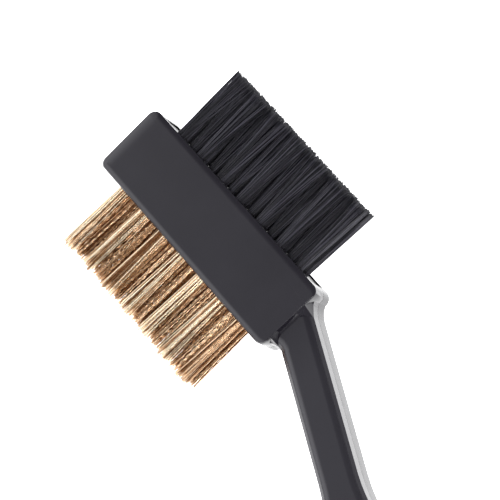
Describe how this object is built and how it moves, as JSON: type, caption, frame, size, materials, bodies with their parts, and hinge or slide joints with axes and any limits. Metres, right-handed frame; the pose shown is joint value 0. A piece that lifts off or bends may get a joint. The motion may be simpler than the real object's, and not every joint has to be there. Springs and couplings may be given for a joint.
{
  "type": "golf club groove brush",
  "caption": "Two-sided golf club brush: flat head with nylon bristles on one side, brass wire on the other, angled handle with hang ring and snap hook.",
  "frame": {"origin": "middle of the head, on the flat rear face that the brush lies on", "axes": "+X along the head towards the handle end, +Y towards the nylon bristles, +Z out of the front face"},
  "size_m": [0.221, 0.103, 0.015],
  "materials": {
    "body_plastic": "satin moulded black with glossy side walls",
    "block_plastic": "fine matte moulded black",
    "nylon_filament": "black nylon filaments with a soft sheen",
    "brass_wire": "bright drawn brass wire",
    "plated_metal": "nickel plated",
    "spring_steel": "drawn wire"
  },
  "bodies": {
    "brush": {"brass_bristle_block": "block_plastic", "brass_tuft_front_1": "brass_wire", "brass_tuft_front_2": "brass_wire", "brass_tuft_front_3": "brass_wire", "brass_tuft_front_4": "brass_wire", "brass_tuft_front_5": "brass_wire", "brass_tuft_front_6": "brass_wire", "brass_tuft_front_7": "brass_wire", "brass_tuft_middle_1": "brass_wire", "brass_tuft_middle_2": "brass_wire", "brass_tuft_middle_3": "brass_wire", "brass_tuft_middle_4": "brass_wire", "brass_tuft_middle_5": "brass_wire", "brass_tuft_middle_6": "brass_wire", "brass_tuft_rear_1": "brass_wire", "brass_tuft_rear_2": "brass_wire", "brass_tuft_rear_3": "brass_wire", "brass_tuft_rear_4": "brass_wire", "brass_tuft_rear_5": "brass_wire", "brass_tuft_rear_6": "brass_wire", "brass_tuft_rear_7": "brass_wire", "front_shell": "body_plastic", "nylon_bristle_block": "block_plastic", "nylon_tuft_front_1": "nylon_filament", "nylon_tuft_front_2": "nylon_filament", "nylon_tuft_front_3": "nylon_filament", "nylon_tuft_front_4": "nylon_filament", "nylon_tuft_front_5": "nylon_filament", "nylon_tuft_front_6": "nylon_filament", "nylon_tuft_front_7": "nylon_filament", "nylon_tuft_middle_1": "nylon_filament", "nylon_tuft_middle_2": "nylon_filament", "nylon_tuft_middle_3": "nylon_filament", "nylon_tuft_middle_4": "nylon_filament", "nylon_tuft_middle_5": "nylon_filament", "nylon_tuft_middle_6": "nylon_filament", "nylon_tuft_rear_1": "nylon_filament", "nylon_tuft_rear_2": "nylon_filament", "nylon_tuft_rear_3": "nylon_filament", "nylon_tuft_rear_4": "nylon_filament", "nylon_tuft_rear_5": "nylon_filament", "nylon_tuft_rear_6": "nylon_filament", "nylon_tuft_rear_7": "nylon_filament", "rear_shell": "body_plastic"},
    "ring": {"hang_ring": "plated_metal"},
    "eye": {"swivel_eye": "plated_metal"},
    "hook": {"snap_hook_body": "plated_metal", "bolt_spring": "spring_steel"},
    "bolt": {"snap_hook_bolt": "plated_metal"}
  },
  "joints": [
    {"name": "ring_swing", "type": "hinge", "parent": "brush", "child": "ring", "pos_m": [0.14356, -0.04843, 0.0065], "axis": [0, 0, 1], "range_deg": [-75, 75]},
    {"name": "eye_swing", "type": "hinge", "parent": "ring", "child": "eye", "pos_m": [0.15369, -0.0532, 0.0065], "axis": [0, 0, 1], "range_deg": [-60, 60]},
    {"name": "hook_swivel", "type": "hinge", "parent": "eye", "child": "hook", "pos_m": [0.15894, -0.05567, 0.0065], "axis": [0.9048, -0.4258, 0], "continuous": true},
    {"name": "bolt_slide", "type": "slide", "parent": "hook", "child": "bolt", "axis": [0.9048, -0.4258, 0], "range_m": [-0.004, 0], "stiffness_N_per_m": 150, "springref_m": 0.004, "deforming": ["bolt_spring"]}
  ]
}
